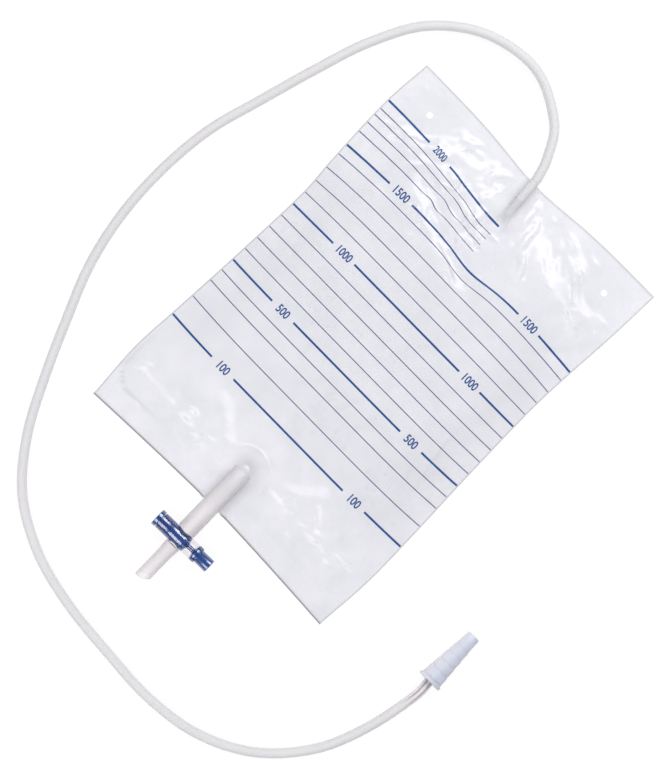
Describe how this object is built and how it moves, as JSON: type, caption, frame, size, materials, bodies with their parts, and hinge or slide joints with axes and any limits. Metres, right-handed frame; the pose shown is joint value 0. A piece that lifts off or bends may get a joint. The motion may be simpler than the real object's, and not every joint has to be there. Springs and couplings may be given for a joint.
{
  "type": "urine drainage bag",
  "caption": "Flat two litre drainage bag of welded film with a long inlet tube, stepped connector and push-pull drain valve.",
  "frame": {"origin": "under the middle of the bag with its drain, on the surface that it lies on", "axes": "+Z out of the printed side, +Y along the bag towards the inlet, +X to the right as the print reads"},
  "size_m": [0.3565, 0.455, 0.0166],
  "materials": {
    "clear_film": "glossy, printed blue",
    "milky_film": "satin",
    "frosted_film": "satin",
    "tube_vinyl": "glossy",
    "connector_plastic": "satin",
    "drain_vinyl": "glossy",
    "clear_plastic": "polished",
    "blue_plastic": "glossy"
  },
  "bodies": {
    "bag": {"front_film": "clear_film", "back_film": "milky_film", "inlet_tube": "tube_vinyl", "non_return_valve": "frosted_film", "catheter_connector": "connector_plastic", "drain_sleeve": "drain_vinyl", "valve_body": "clear_plastic", "drain_nozzle": "drain_vinyl"},
    "stem": {"valve_stem": "blue_plastic"}
  },
  "joints": [
    {"name": "valve_slide", "type": "slide", "parent": "bag", "child": "stem", "axis": [-0.9996, -0.0279, 0], "range_m": [0, 0.009]}
  ]
}
